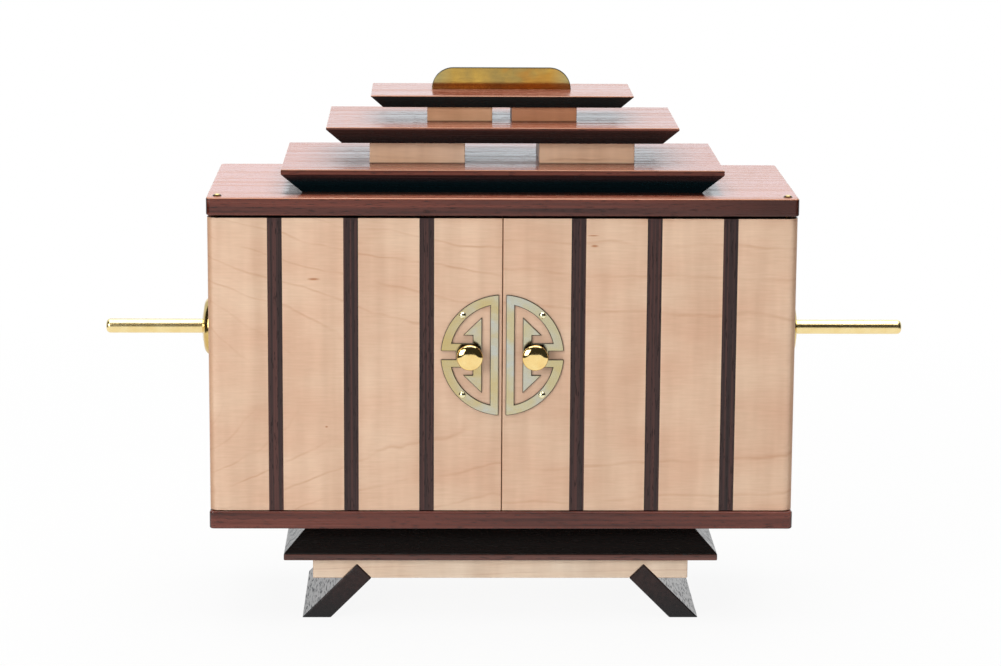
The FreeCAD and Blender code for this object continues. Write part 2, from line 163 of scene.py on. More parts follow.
def put(name: str, data: bpy.types.ID) -> bpy.types.Object:
    """Makes an object and puts it into the scene.

    Args:
        name: The object's name.
        data: Its mesh, lamp or lens.

    Returns:
        The object.
    """
    thing = bpy.data.objects.new(name, data)
    bpy.context.scene.collection.objects.link(thing)
    return thing


class Side(Enum):
    """The two hands of the box. The value is what the names of its CAD nodes begin with."""

    LEFT = "left"
    RIGHT = "right"

    def node(self, name: str) -> str:
        """Name of this hand's CAD node."""
        return f"{self.value}_{name}"

    @property
    def door(self) -> str:
        """Name of this hand's door body."""
        return self.node("door")


class Grain(Enum):
    """Which way a board's fibres run. The value in degrees turns that way onto the pattern's X."""

    ACROSS = (0.0, 0.0, 0.0)
    BACKWARD = (0.0, 0.0, -90.0)
    UPRIGHT = (0.0, 90.0, 0.0)

    @property
    def turn(self) -> tuple[float, ...]:
        """The same turn in radians."""
        return tuple(math.radians(angle) for angle in self.value)


class Bevel(Enum):
    """Which sloping faces of a piece are coloured near black. The value is the sign of Z they face.
    """

    NONE = 0
    UNDER = -1
    OVER = 1


class Tier(Enum):
    """The three roof tiers. The value is the tier's CAD node."""

    LOWER = "roof_lower_tier"
    MIDDLE = "roof_middle_tier"
    UPPER = "roof_upper_tier"


class Head(Enum):
    """Shapes of screw head. The value is the upright rim's height, as a share of the radius."""

    CHEESE = 0.5
    COUNTERSUNK = 0.0


class Sheet:
    """One material under construction: its tree and the pattern's coordinates."""

    def __init__(self, name: str, grain: Grain = Grain.ACROSS) -> None:
        """Starts a material with an empty tree.

        Args:
            name: The material's name.
            grain: The way that the pattern's X runs.
        """
        self.material = bpy.data.materials.new(name)
        self.material.use_nodes = True
        self.tree = self.material.node_tree
        self.tree.nodes.clear()
        where = self.add("TexCoord").outputs
        self.place, self.facing = (
            self.add("Mapping", {"Vector": where[kind], "Rotation": grain.turn}).outputs[0]
            for kind in ("Object", "Normal")
        )

    def add(self, kind: str, links: Mapping | None = None, **settings: object) -> bpy.types.Node:
        """Adds one node to this material."""
        return add_node(self.tree, kind, links, **settings)

    def calc(self, kind: str, *values: object) -> Socket:
        """Adds one step of arithmetic and returns its result."""
        return self.add("Math", dict(enumerate(values)), operation=kind).outputs[0]

    def vector(self, kind: str, *values: object) -> Socket:
        """Adds one step of arithmetic with vectors and returns its result."""
        step = self.add("VectorMath", dict(enumerate(values)), operation=kind)
        return step.outputs["Value" if kind == "LENGTH" else "Vector"]

    def spot(self, axis: str) -> Socket:
        """Where the surface lies along one of the pattern's axes, in metres."""
        return self.add("SeparateXYZ", {0: self.place}).outputs[axis]

    def tilt(self, axis: str) -> Socket:
        """How far the surface faces along one of the pattern's axes, from -1 to 1."""
        return self.add("SeparateXYZ", {0: self.facing}).outputs[axis]

    def face(self, axis: str) -> Socket:
        """How squarely the surface faces either way along an axis, from 0 to 1."""
        return self.calc("ABSOLUTE", self.tilt(axis))

    def span(
        self,
        value: Socket,
        source: Span = (0.0, 1.0),
        target: Span = (0.0, 1.0),
        unit: float = 1.0,
    ) -> Socket:
        """Stretches one range of values onto another, which it doesn't leave.

        Args:
            value: The values.
            source: Two of the values.
            target: What these two become.
            unit: What the source range is counted in, such as MM.

        Returns:
            The socket with the result.
        """
        low, high = (end * unit for end in source)
        links = {0: value, 1: low, 2: high, 3: target[0], 4: target[1]}
        return self.add("MapRange", links).outputs[0]

    def blotches(self, size_mm: Sequence[float], detail: float = 2.0) -> Socket:
        """Adds a soft random pattern with its own size along each way of the grain.

        Args:
            size_mm: Size of a blotch along the fibres, across them and through the board.
            detail: Octaves of finer pattern.

        Returns:
            The socket with the pattern, from 0 to 1.
        """
        scale = tuple(per_metre(size) for size in size_mm)
        fine = self.add("Mapping", {"Vector": self.place, "Scale": scale})
        links = {"Vector": fine.outputs[0], "Scale": 1.0, "Detail": detail}
        return self.add("TexNoise", links).outputs[0]

    def stripes(self, length: Socket, spacing_mm: float, stops: Sequence) -> Socket:
        """Repeats a colour ramp along a length in metres and returns its colour."""
        count = self.calc("MULTIPLY", length, per_metre(spacing_mm))
        return self.ramp(self.calc("FRACT", count), *stops)

    def under(self, node: str) -> Socket:
        """Where a CAD node stands over the surface, with a soft edge.

        Args:
            node: The node overhead. The pattern's X has to run across.

        Returns:
            The socket with the share, from 0 to 1.
        """
        low, high = (Vector(corner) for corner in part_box(node))
        away = self.vector("ABSOLUTE", self.vector("SUBTRACT", self.place, (low + high) / 2))
        away = self.vector("SUBTRACT", away, (high - low) / 2)
        parts = self.add("SeparateXYZ", {0: away}).outputs
        return self.span(self.calc("MAXIMUM", parts["X"], parts["Y"]), SHADE_MM, (1.0, 0.0), MM)

    def ramp(self, pattern: Socket, *stops: tuple[float, str]) -> Socket:
        """Adds a colour ramp over a pattern and returns its colour."""
        return self.add("ValToRGB", {0: pattern}, stops=stops).outputs[0]

    def blend(self, share: object, under: object, over: object) -> Socket:
        """Lays one colour over another by a share and returns the colour."""
        return mix(self.tree, share, under, over)

    def glaze(self, under: Socket, over: object) -> Socket:
        """Lays one colour over another as a clear glaze and returns the colour."""
        return mix(self.tree, 1.0, under, over, "MULTIPLY")

    def rough(self, pattern: Socket, middle: float, spread: Span) -> Socket:
        """Spreads roughness about a middle value by a pattern and returns it."""
        return self.span(pattern, target=(middle + spread[0], middle + spread[1]))

    def bump(self, pattern: Socket, strength: float, height_mm: float) -> Socket:
        """Raises a pattern, or sinks it where the height is below 0, and returns the normal."""
        links = {"Strength": strength, "Distance": height_mm * MM, "Height": pattern}
        return self.add("Bump", links).outputs[0]

    def finish(self, **sockets: object) -> bpy.types.Material:
        """Adds the shader and closes the material.

        Args:
            sockets: Values or links of the shader's inputs, with _ for a space.

        Returns:
            The finished material.
        """
        links = {name.replace("_", " "): value for name, value in sockets.items()}
        shader = self.add("BsdfPrincipled", links)
        self.add("OutputMaterial", {"Surface": shader.outputs[0]})
        return self.material


@dataclass(frozen=True)
class Fleck:
    """One brown mark in a board: where its middle lies and how big it is, in millimetres.

    It fades out between two shares of its half size.
    """

    across: float
    back: float
    up: float
    length: float
    height: float
    depth: float = 2.0
    fade: Span = (0.3, 1.0)
    strength: float = 0.8

    def share(self, sheet: Sheet) -> Socket:
        """Draws the mark.

        Args:
            sheet: The material. The pattern's X has to run across.

        Returns:
            The socket with its strength, from 0 to 1.
        """
        middle = (self.across * MM, self.back * MM, self.up * MM)
        shape = tuple(per_metre(size / 2) for size in (self.length, self.depth, self.height))
        away = sheet.vector("MULTIPLY", sheet.vector("SUBTRACT", sheet.place, middle), shape)
        return sheet.span(sheet.vector("LENGTH", away), self.fade, (self.strength, 0.0))


@dataclass(frozen=True)
class FiguredMaple:
    """Hard maple, planed, sanded and wiped with a satin varnish.

    It gives the eye a pale pinkish tan with wandering growth lines, a shallow curl across the
    fibres, browner end grain and a rare brown fleck. The three sizes of a pattern are those along
    the fibres, across them and through the board.
    """

    name: str = "maple_satin_varnish"
    pale: str = "#e6c6ab"
    pink: str = "#deb69a"
    line: str = "#bf8a69"
    fleck: str = "#a8602a"
    end: str = "#d2bba4"
    # Painted shade on the faces that look up, for the dark gap over a door, and painted shade along
    # the joint at one height where a piece sits.
    gap_shade: str = ""
    joint_shade: str = "#3c2214"
    joint_shade_share: float = 0.9
    joint_shade_mm: float = 0.7
    joint_mm: float = 0.0
    # Rings: how far apart they are, the fine lines in each, how far they wander, and the heights
    # over and under the heart between which they set in.
    line_spacing_mm: float = 9.0
    fine_lines: float = 3.7
    wander_mm: float = 10.0
    calm_mm: Span = (6.0, 26.0)
    # The log: height of its heart, the saw cut's distance from it, and how the rings fan out.
    heart_mm: float = 107.0
    core_mm: float = 57.4
    flare_mm: float = 4.0
    bend: float = 0.0
    tint_mm: Triple = (34.0, 17.0, 17.0)
    curl_mm: Triple = (8.0, 70.0, 70.0)
    faint_mm: Triple = (26.0, 9.0, 9.0)
    sway_mm: Triple = (40.0, 30.0, 30.0)
    # The real fibres are about 0.1 mm apart. They are drawn at 0.8 mm so that they show.
    fibre_mm: Triple = (10.0, 0.8, 0.8)
    roughness: float = 0.42
    spread: Span = (-0.06, 0.08)
    flecks: tuple[Fleck, ...] = ()

    @cache
    def material(self, grain: Grain) -> bpy.types.Material:
        """Builds the maple with its fibres running one way.

        Args:
            grain: The way that the fibres run.

        Returns:
            The material.
        """
        sheet = Sheet(f"{self.name}_{grain.name.lower()}", grain)
        fibre = sheet.blotches(self.fibre_mm, detail=3.0)
        silk = sheet.ramp(fibre, (0.25, "#f5f3f0"), (0.75, WHITE))
        colour = sheet.glaze(self.figure(sheet), silk)
        ends = sheet.ramp(sheet.face("X"), (0.45, BLACK), (0.95, WHITE))
        colour = sheet.blend(ends, colour, sheet.glaze(colour, linear(self.end)))
        return sheet.finish(
            Base_Color=self.painted_shade(sheet, colour),
            Roughness=sheet.rough(fibre, self.roughness, self.spread),
            Normal=sheet.bump(fibre, strength=0.1, height_mm=0.05),
        )

    def painted_shade(self, sheet: Sheet, colour: Socket) -> Socket:
        """Paints shade onto the faces that look up, for the gap over them, and along the joint under
        the piece.

        Args:
            sheet: The material.
            colour: The clean wood.

        Returns:
            The socket with the colour and its painted shade.
        """
        # Painted shade on the faces that look up, for the dark gap over them.
        if self.gap_shade:
            up = sheet.ramp(sheet.tilt("Z"), (0.6, BLACK), (0.9, WHITE))
            colour = sheet.blend(up, colour, linear(self.gap_shade))
        # Painted shade along the joint under the piece.
        if self.joint_mm:
            seam = (self.joint_mm, self.joint_mm + self.joint_shade_mm)
            joint_shade = sheet.span(sheet.spot("Z"), seam, (self.joint_shade_share, 0.0), MM)
            colour = sheet.blend(joint_shade, colour, linear(self.joint_shade))
        return colour

    def figure(self, sheet: Sheet) -> Socket:
        """Draws tint, curl, growth lines and flecks.

        Args:
            sheet: The material that they go into.

        Returns:
            The socket with their colour.
        """
        tint = sheet.blotches(self.tint_mm, detail=4.0)
        colour = sheet.ramp(tint, (0.3, self.pale), (0.7, self.pink))
        curl = sheet.ramp(sheet.blotches(self.curl_mm), (0.3, "#efebe8"), (0.7, WHITE))
        colour = sheet.glaze(colour, curl)
        rise = sheet.calc("SUBTRACT", sheet.spot("Z"), self.heart_mm * MM)
        reach = self.rings(sheet, rise)
        late = sheet.stripes(reach, self.line_spacing_mm, LATE_WOOD)
        fine = sheet.stripes(reach, self.line_spacing_mm / self.fine_lines, FINE_WOOD)
        faint = sheet.blotches(self.faint_mm, detail=3.0)
        faint = sheet.ramp(faint, (0.35, "#242424"), (0.66, "#c4c4c4"))
        line = sheet.calc("MULTIPLY", sheet.calc("MAXIMUM", late, fine), faint)
        # Level with the heart the saw runs along a ring, so that no lines show.
        calm = sheet.span(sheet.calc("ABSOLUTE", rise), self.calm_mm, unit=MM)
        colour = sheet.blend(sheet.calc("MULTIPLY", line, calm), colour, linear(self.line))
        for fleck in self.flecks:
            colour = sheet.blend(fleck.share(sheet), colour, linear(self.fleck))
        return colour

    def rings(self, sheet: Sheet, rise: Socket) -> Socket:
        """Lays out the growth rings, which fan out sideways from the height of the log's heart.

        Args:
            sheet: The material that they go into.
            rise: Height over the heart in metres.

        Returns:
            The socket with the distance from the heart in metres.
        """
        across = sheet.spot("X")
        fan = sheet.calc("MULTIPLY_ADD", across, self.bend, self.flare_mm * MM)
        fan = sheet.calc("MULTIPLY_ADD", fan, across, (self.core_mm * MM) ** 2)
        reach = sheet.calc("SQRT", sheet.calc("MULTIPLY_ADD", rise, rise, fan))
        sway = sheet.blotches(self.sway_mm, detail=3.0)
        return sheet.calc("MULTIPLY_ADD", sway, self.wander_mm * MM, reach)


@dataclass(frozen=True)
class Rosewood:
    """Rosewood, planed, left with its pores open and rubbed to a thin gloss.

    It gives the eye a deep reddish brown with dark straight streaks and short open pores, which
    turns pale where it is seen at a low angle. Its end grain is nearly black.
    """

    name: str = "rosewood_rubbed_gloss"
    dark: str = "#3a1912"
    middle: str = "#5f2e24"
    light: str = "#763f33"
    pore: str = "#1a0b08"
    end: str = "#5a5e66"
    # Faces that look up: painted lighter as top light, lighter still as painted sheen on streaks
    # where the finish has gone into the wood, and painted dark as shade under a node overhead.
    top_light: str = "#935640"
    top_sheen: str = "#b4897b"
    sunk_and_sheen: str = "#c0c0c0"
    shade_under: str = ""
    # Upper arrises, rubbed paler and painted with a highlight, and how high this rubbed, highlit
    # edge begins.
    arris: str = "#dc9c7c"
    worn_highlight_mm: float = 0.0
    worn_highlight_soft_mm: float = 0.15
    # Bevels coloured near black, and the heights between which this black thins out to what is left,
    # as painted shade that is deepest at the lower edge. The same near black is the painted shade
    # under a node overhead.
    bevel: Bevel = Bevel.NONE
    near_black: str = "#1b1412"
    shade_fade_mm: Span = (0.0, 0.0)
    shade_left: float = 0.62
    # Share of painted shade towards the right end, where the light falls off, and where it sets in.
    falloff_shade: float = 0.0
    falloff_shade_mm: Span = (45.0, 115.0)
    # Painted shade at the floor, darker towards the bottom, and how high it reaches.
    painted_shade: str = "#0c1013"
    floor_shade_share: float = 0.9
    floor_shade_mm: float = 0.0
    streak_mm: float = 2.2
    streak_length_mm: float = 170.0
    # The real pores are about 0.2 mm wide. They are drawn at 0.6 mm so that they show.
    pore_mm: float = 5.0
    pore_width_mm: float = 0.6
    pore_share: float = 0.75
    pore_from: float = 0.58
    pore_soft: float = 0.1
    roughness: float = 0.11
    spread: Span = (0.0, 0.38)
    ior: float = 1.45

    @cache
    def material(self, grain: Grain) -> bpy.types.Material:
        """Builds the rosewood with its fibres running one way.

        Args:
            grain: The way that the fibres run.

        Returns:
            The material.
        """
        sheet = Sheet(f"{self.name}_{grain.name.lower()}_{self.bevel.name.lower()}", grain)
        size = (self.streak_length_mm, self.streak_mm, self.streak_mm)
        streak = sheet.blotches(size, detail=4.0)
        colour = sheet.ramp(streak, (0.3, self.dark), (0.5, self.middle), (0.7, self.light))
        groove = sheet.blotches((self.pore_mm, self.pore_width_mm, self.pore_width_mm))
        pore_to = self.pore_from + self.pore_soft
        pore = sheet.ramp(groove, (self.pore_from, BLACK), (pore_to, WHITE))
        pore_share = sheet.calc("MULTIPLY", pore, self.pore_share)
        colour = sheet.blend(pore_share, colour, linear(self.pore))
        # Painted shade, darker towards the right end, where the light falls off.
        if self.falloff_shade:
            deep = sheet.span(sheet.spot("X"), self.falloff_shade_mm, (0.0, self.falloff_shade), MM)
            colour = sheet.blend(deep, colour, linear(self.dark))
        # Where the finish has gone into the wood: rougher, and on the faces that look up given
        # painted sheen.
        dull_and_sheen = sheet.calc("MAXIMUM", pore, sheet.ramp(streak, (0.44, BLACK), (0.6, self.sunk_and_sheen)))
        colour = self.light_and_wear(sheet, colour, dull_and_sheen)
        ends = sheet.ramp(sheet.face("X"), (0.6, BLACK), (0.9, WHITE))
        colour = sheet.blend(ends, colour, sheet.glaze(colour, linear(self.end)))
        # Painted shade, darker towards the floor.
        if self.floor_shade_mm:
            low = sheet.span(sheet.spot("Z"), (0.0, self.floor_shade_mm), (self.floor_shade_share, 0.0), MM)
            colour = sheet.blend(low, colour, linear(self.painted_shade))
        return sheet.finish(
            Base_Color=colour,
            Roughness=sheet.rough(dull_and_sheen, self.roughness, self.spread),
            Normal=sheet.bump(pore, strength=0.12, height_mm=-0.08),
            IOR=self.ior,
        )

    def light_and_wear(self, sheet: Sheet, colour: Socket, dull_and_sheen: Socket) -> Socket:
        """Paints top light, sheen and shade onto the faces that look up, a highlight onto the rubbed
        upper arrises and near black onto the bevels.

        Args:
            sheet: The material.
            colour: The fresh wood.
            dull_and_sheen: Where the finish has gone into the wood; on the faces that look up it
                gets painted sheen.

        Returns:
            The socket with the colour and its painted light and shade.
        """
        # Painted top light on the faces that look up, lighter still as painted sheen where the
        # finish has gone in.
        if self.top_light:
            top = sheet.ramp(sheet.tilt("Z"), (0.9, BLACK), (0.99, TOP_LIGHT_SHARE))
            lit_top = sheet.blend(dull_and_sheen, linear(self.top_light), linear(self.top_sheen))
            colour = sheet.blend(top, colour, lit_top)
            # Painted shade under a node overhead, such as the lower tier over the lid.
            if self.shade_under:
                shade = sheet.calc("MULTIPLY", top, sheet.under(self.shade_under))
                colour = sheet.blend(shade, colour, linear(self.near_black))
        # Painted highlight on the upper arrises, which are also rubbed paler.
        if self.arris:
            colour = sheet.blend(self.rubbed(sheet), colour, linear(self.arris))
        # Near black on the bevels, with painted shade thinning out upwards where heights are given.
        if self.bevel is not Bevel.NONE:
            colour = sheet.blend(self.blackened_and_shaded(sheet), colour, linear(self.near_black))
        return colour

    def rubbed(self, sheet: Sheet) -> Socket:
        """Finds the upper arrises, which handling has rubbed paler and which get a painted
        highlight.

        Args:
            sheet: The material.

        Returns:
            The socket with the share, from 0 to 1.
        """
        rise = sheet.tilt("Z")
        worn_highlight = sheet.ramp(rise, (0.25, BLACK), (0.5, WEAR_AND_HIGHLIGHT), (0.88, WEAR_AND_HIGHLIGHT), (0.97, BLACK))
        if self.worn_highlight_mm:
            edge = (self.worn_highlight_mm - self.worn_highlight_soft_mm, self.worn_highlight_mm + self.worn_highlight_soft_mm)
            band = sheet.span(sheet.spot("Z"), edge, unit=MM)
            side = sheet.ramp(rise, (0.9, WEAR_AND_HIGHLIGHT), (0.97, BLACK))
            worn_highlight = sheet.calc("MAXIMUM", worn_highlight, sheet.calc("MULTIPLY", band, side))
        return worn_highlight

    def blackened_and_shaded(self, sheet: Sheet) -> Socket:
        """Finds the bevels that are coloured near black, with painted shade that thins out upwards
        where heights are given.

        Args:
            sheet: The material.

        Returns:
            The socket with the share, from 0 to 1.
        """
        slope = sheet.calc("MULTIPLY", sheet.tilt("Z"), self.bevel.value)
        black = sheet.ramp(slope, (0.25, BLACK), (0.4, WHITE), (0.9, WHITE), (0.97, BLACK))
        # Painted shade, from full at the lower height to what is left at the upper one.
        if any(self.shade_fade_mm):
            left = sheet.span(sheet.spot("Z"), self.shade_fade_mm, (1.0, self.shade_left), MM)
            black = sheet.calc("MULTIPLY", black, left)
        return black


@dataclass(frozen=True)
class PolishedBrass:
    """Yellow brass, turned and buffed.

    It gives the eye a clear warm mirror with fine hairlines left by the buff. A back or a rim can be
    painted dark as shade: the back of a knob or nail that faces the door, and the rim and shank of a
    pin's head.
    """

    name: str = "brass_buffed"
    bright: str = "#fbdf9c"
    warm: str = "#f4cf86"
    back: str = ""
    rim: str = ""
    cloud_mm: Triple = (6.0, 6.0, 6.0)
    # The real hairlines are a few hundredths wide. They are drawn at 0.25 mm so that they show.
    hair_mm: Triple = (6.0, 0.25, 0.25)
    roughness: float = 0.08
    spread: Span = (-0.03, 0.05)

    @cache
    def material(self) -> bpy.types.Material:
        """Builds the buffed brass.

        Returns:
            The material.
        """
        sheet = Sheet(self.name)
        cloud = sheet.blotches(self.cloud_mm)
        hair = sheet.blotches(self.hair_mm)
        colour = sheet.ramp(cloud, (0.35, self.bright), (0.7, self.warm))
        # Painted shade on the faces that look back, towards the door.
        if self.back:
            behind = sheet.ramp(sheet.tilt("Y"), (0.02, BLACK), (0.2, WHITE))
            colour = sheet.blend(behind, colour, linear(self.back))
        # Painted shade on the faces that slope away from straight up, such as a pin's rim and shank.
        if self.rim:
            level = sheet.ramp(sheet.face("Z"), (0.84, BLACK), (0.93, WHITE))
            colour = sheet.blend(level, linear(self.rim), colour)
        return sheet.finish(
            Base_Color=colour,
            Metallic=1.0,
            Roughness=sheet.rough(hair, self.roughness, self.spread),
            Normal=sheet.bump(hair, strength=0.02, height_mm=0.01),
        )


@dataclass(frozen=True)
class AgedBrass:
    """Sheet brass, sawn, rubbed flat and left to age.

    It gives the eye a soft mirror that drifts between three tarnish colours, with amber stains, a
    tone of its own towards the left and right ends and dark sawn edges, which are partly a brown
    crust and partly painted shade along the outline.
    """

    name: str = "brass_aged_plate"
    gold: str = "#cbbc90"
    green: str = "#c7c09e"
    blue: str = "#c1c1b1"
    amber: str = "#c8b07a"
    edge: str = "#34240c"
    # Tone of the ends, and the distances from the middle between which it comes in.
    tip: str = ""
    tip_mm: Span = (21.0, 30.0)
    # Size of a tarnish patch, and how the amber grows per metre to the right.
    patch_mm: float = 11.0
    drift: float = 0.0
    smear_mm: Triple = (8.0, 8.0, 5.0)
    rubbed_mm: Triple = (5.0, 0.5, 0.5)
    roughness: float = 0.15
    spread: Span = (-0.05, 0.07)
    crust: float = 0.5

    @cache
    def material(self) -> bpy.types.Material:
        """Builds the aged brass.

        Returns:
            The material.
        """
        sheet = Sheet(self.name)
        cloud = sheet.blotches((self.patch_mm, self.patch_mm, self.patch_mm), detail=3.0)
        colour = sheet.ramp(cloud, (0.35, self.gold), (0.49, self.green), (0.62, self.blue))
        across = sheet.spot("X")
        smear = sheet.calc("MULTIPLY_ADD", across, self.drift, sheet.blotches(self.smear_mm))
        stain = sheet.ramp(smear, (0.5, BLACK), (0.75, STAINED))
        colour = sheet.blend(stain, colour, linear(self.amber))
        if self.tip:
            ends = sheet.span(sheet.calc("ABSOLUTE", across), self.tip_mm, unit=MM)
            colour = sheet.blend(ends, colour, linear(self.tip))
        flat = sheet.ramp(sheet.face("Y"), (0.9, BLACK), (0.995, WHITE))
        rubbed = sheet.blotches(self.rubbed_mm)
        # The sawn edges wear a matt brown crust instead of bare metal; their dark brown is partly
        # the crust and partly painted shade along the outline.
        crust = sheet.span(flat, target=(self.crust, 0.0))
        rough = sheet.rough(rubbed, self.roughness, self.spread)
        return sheet.finish(
            Base_Color=sheet.blend(flat, linear(self.edge), colour),
            Metallic=flat,
            Roughness=sheet.calc("ADD", rough, crust),
            Normal=sheet.bump(rubbed, strength=0.04, height_mm=0.02),
        )


def dress(name: str, material: bpy.types.Material) -> bpy.types.Object:
    """Gives a CAD node its finish.

    Args:
        name: The node.
        material: The finish.

    Returns:
        The node's object.
    """
    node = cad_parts[name]
    if not node.material_slots:
        node.data.materials.append(material)
    for slot in node.material_slots:
        slot.material = material
    LOG.info("%s: %s", name, material.name)
    return node


def ease(node: bpy.types.Object, radius_mm: float = 0.0) -> None:
    """Joins a node's facets and rounds its sharp arrises as fine sandpaper does.

    Args:
        node: The CAD node's object.
        radius_mm: Width of the rounding. At 0 only the shading becomes even, as on a turned piece.
    """
    node.modifiers.new("joined_faces", "WELD").merge_threshold = WELD_MM * MM
    if radius_mm:
        flat = node.modifiers.new("flat_faces", "DECIMATE")
        flat.decimate_type = "DISSOLVE"
        flat.angle_limit = math.radians(LEVEL_DEGREES)
        bevel = node.modifiers.new("eased_arris", "BEVEL")
        bevel.width = radius_mm * MM
        bevel.segments = ARRIS_STEPS
        bevel.limit_method = "ANGLE"
        bevel.angle_limit = math.radians(ARRIS_DEGREES)
        bevel.harden_normals = True
        bevel.use_clamp_overlap = False
    node.modifiers.new("face_normals", "WEIGHTED_NORMAL").keep_sharp = True


@dataclass
class Casework:
    """Lid, bottom board, sides, back and stop rail."""

    maple: FiguredMaple
    lid: Rosewood
    bottom: Rosewood

    def build(self) -> None:
        """Dresses the boards of the case."""
        dress("lid_board", self.lid.material(Grain.ACROSS))
        dress("bottom_board", self.bottom.material(Grain.ACROSS))
        for name in ("back_panel", "door_stop_rail"):
            dress(name, self.maple.material(Grain.ACROSS))
        for side in Side:
            dress(side.node("side_panel"), self.maple.material(Grain.BACKWARD))


@dataclass
class Roof:
    """Three tiers, the blocks between them and the crest plate."""

    tiers: Mapping[Tier, Rosewood]
    lower_maple: FiguredMaple
    upper_maple: Mapping[Side, FiguredMaple]
    brass: AgedBrass
    arris_mm: float = 0.3

    def build(self) -> None:
        """Dresses the roof from the lower tier up."""
        for tier, wood in self.tiers.items():
            dress(tier.value, wood.material(Grain.ACROSS))
        for side, maple in self.upper_maple.items():
            dress(side.node("lower_block"), self.lower_maple.material(Grain.ACROSS))
            dress(side.node("upper_block"), maple.material(Grain.ACROSS))
        ease(dress("crest_plate", self.brass.material()), self.arris_mm)


@dataclass
class Stand:
    """Plinth, beam and splayed feet."""

    maple: FiguredMaple
    plinth: Rosewood
    foot: Rosewood
    arris_mm: float = 0.5

    def build(self) -> None:
        """Dresses the stand."""
        ease(dress("plinth", self.plinth.material(Grain.ACROSS)), self.arris_mm)
        ease(dress("foot_beam", self.maple.material(Grain.ACROSS)), self.arris_mm)
        for side in Side:
            ease(dress(side.node("foot"), self.foot.material(Grain.BACKWARD)), self.arris_mm)


def loft(form: bmesh.types.BMesh, outlines: Sequence[Sequence[Vector]]) -> None:
    """Joins outlines of as many points into a closed solid.

    Args:
        form: The mesh.
        outlines: The outlines from the top down.
    """
    rings = [[form.verts.new(point) for point in outline] for outline in outlines]
    form.faces.new(rings[0])
    form.faces.new(rings[-1])
    for upper, lower in zip(rings, rings[1:]):
        for i in range(len(upper)):
            form.faces.new((upper[i - 1], upper[i], lower[i], lower[i - 1]))


@dataclass(frozen=True)
class SlottedScrew:
    """One screw that faces backwards, with a shank half as wide as its head.

    Sizes are in metres, and those of the slot are shares of the head's radius.
    """

    top: Triple
    radius: float
    length: float
    head: Head
    turn: float
    steps: int = 16
    slot_depth: float = 0.25
    slot_half: float = 0.14

    def at(self, radius: float, angle: float, depth: float) -> Vector:
        """One point of the screw.

        Args:
            radius: Distance from the axis.
            angle: Angle from the slot.
            depth: Distance below the top.

        Returns:
            The point.
        """
        angle += self.turn
        away = Vector((radius * math.cos(angle), -depth, radius * math.sin(angle)))
        return Vector(self.top) + away

    def build(self, form: bmesh.types.BMesh) -> None:
        """Adds the screw to a mesh: two half moons beside the slot, and all that lies under them.

        Args:
            form: The mesh.
        """
        slot = self.slot_depth * self.radius
        rim = self.head.value * self.radius
        half = self.radius / 2
        neck = self.radius - max(0.0, slot - rim)
        for start in (0.0, math.pi):
            loft(form, [self.moon(start, self.radius, 0.0), self.moon(start, neck, slot)])
        levels = [(neck, slot), (self.radius, rim), (half, half), (half, self.length)]
        angles = [math.pi * step / self.steps for step in range(2 * self.steps)]
        loft(form, [[self.at(r, a, d) for a in angles] for r, d in levels if d >= slot])

    def moon(self, start: float, radius: float, depth: float) -> list[Vector]:
        """Outline of half the head beside the slot.

        Args:
            start: Angle at which the half begins.
            radius: Radius of the head at this depth.
            depth: Distance below the top.

        Returns:
            The points of the outline.
        """
        gap = math.asin(self.slot_half * self.radius / radius)
        sweep = (math.pi - 2 * gap) / self.steps
        steps = range(self.steps + 1)
        return [self.at(radius, start + gap + sweep * step, depth) for step in steps]


@dataclass
class Door:
    """One door with its strips, half medallion, knob and keeper. Turns are in radians."""

    side: Side
    maple: FiguredMaple
    strip: Rosewood
    brass: PolishedBrass
    knob: PolishedBrass
    nail: PolishedBrass
    aged: AgedBrass
    strips: int = 3
    arris_mm: float = 0.4
    first_turn: float = 0.5
    next_turn: float = 0.9

    def build(self) -> None:
        """Dresses the door."""
        node = self.side.node
        dress(node("door_panel"), self.maple.material(Grain.ACROSS))
        for number in range(1, self.strips + 1):
            dress(node(f"door_inlay_{number}"), self.strip.material(Grain.UPRIGHT))
        ease(dress(node("medallion"), self.aged.material()), self.arris_mm)
        ease(dress(node("knob"), self.knob.material()))
        ease(dress(node("medallion_nails"), self.nail.material()))
        dress(node("keeper"), self.brass.material())
        self.drive("knob_screw", Head.COUNTERSUNK)
        self.drive("keeper_screws", Head.CHEESE)

    def drive(self, name: str, head: Head) -> None:
        """Puts slotted screws in the place of a CAD node's plain ones.

        Args:
            name: The node, without its hand. It holds one screw, or two at its top and bottom.
            head: Shape of the heads.
        """
        low, high = (Vector(corner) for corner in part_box(self.side.node(name)))
        radius = (high.x - low.x) / 2
        form = bmesh.new()
        for number, up in enumerate(sorted({low.z + radius, high.z - radius})):
            top = (low.x + radius, high.y, up)
            turn = self.first_turn + self.next_turn * number
            SlottedScrew(top, radius, high.y - low.y, head, turn).build(form)
        bmesh.ops.recalc_face_normals(form, faces=form.faces)
        data = bpy.data.meshes.new(self.side.node(name) + "_slotted")
        form.to_mesh(data)
        form.free()
        data.materials.append(self.brass.material())
        piece = put(data.name, data)
        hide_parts(self.side.node(name))
        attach(piece, self.side.door)
        LOG.info("%s: %s", piece.name, data.materials[0].name)


@dataclass
class RodLock:
    """Lock rod, its stop pins, its rosettes and the hinge pins."""

    rod: PolishedBrass
    rosette: PolishedBrass
    pin: PolishedBrass

    def build(self) -> None:
        """Dresses the turned brass."""
        for name in ("lock_rod", "rod_stop_pins"):
            dress(name, self.rod.material())
        for side in Side:
            dress(side.node("rosette"), self.rosette.material())
            for name in ("top_hinge_pin", "bottom_hinge_pin"):
                dress(side.node(name), self.pin.material())


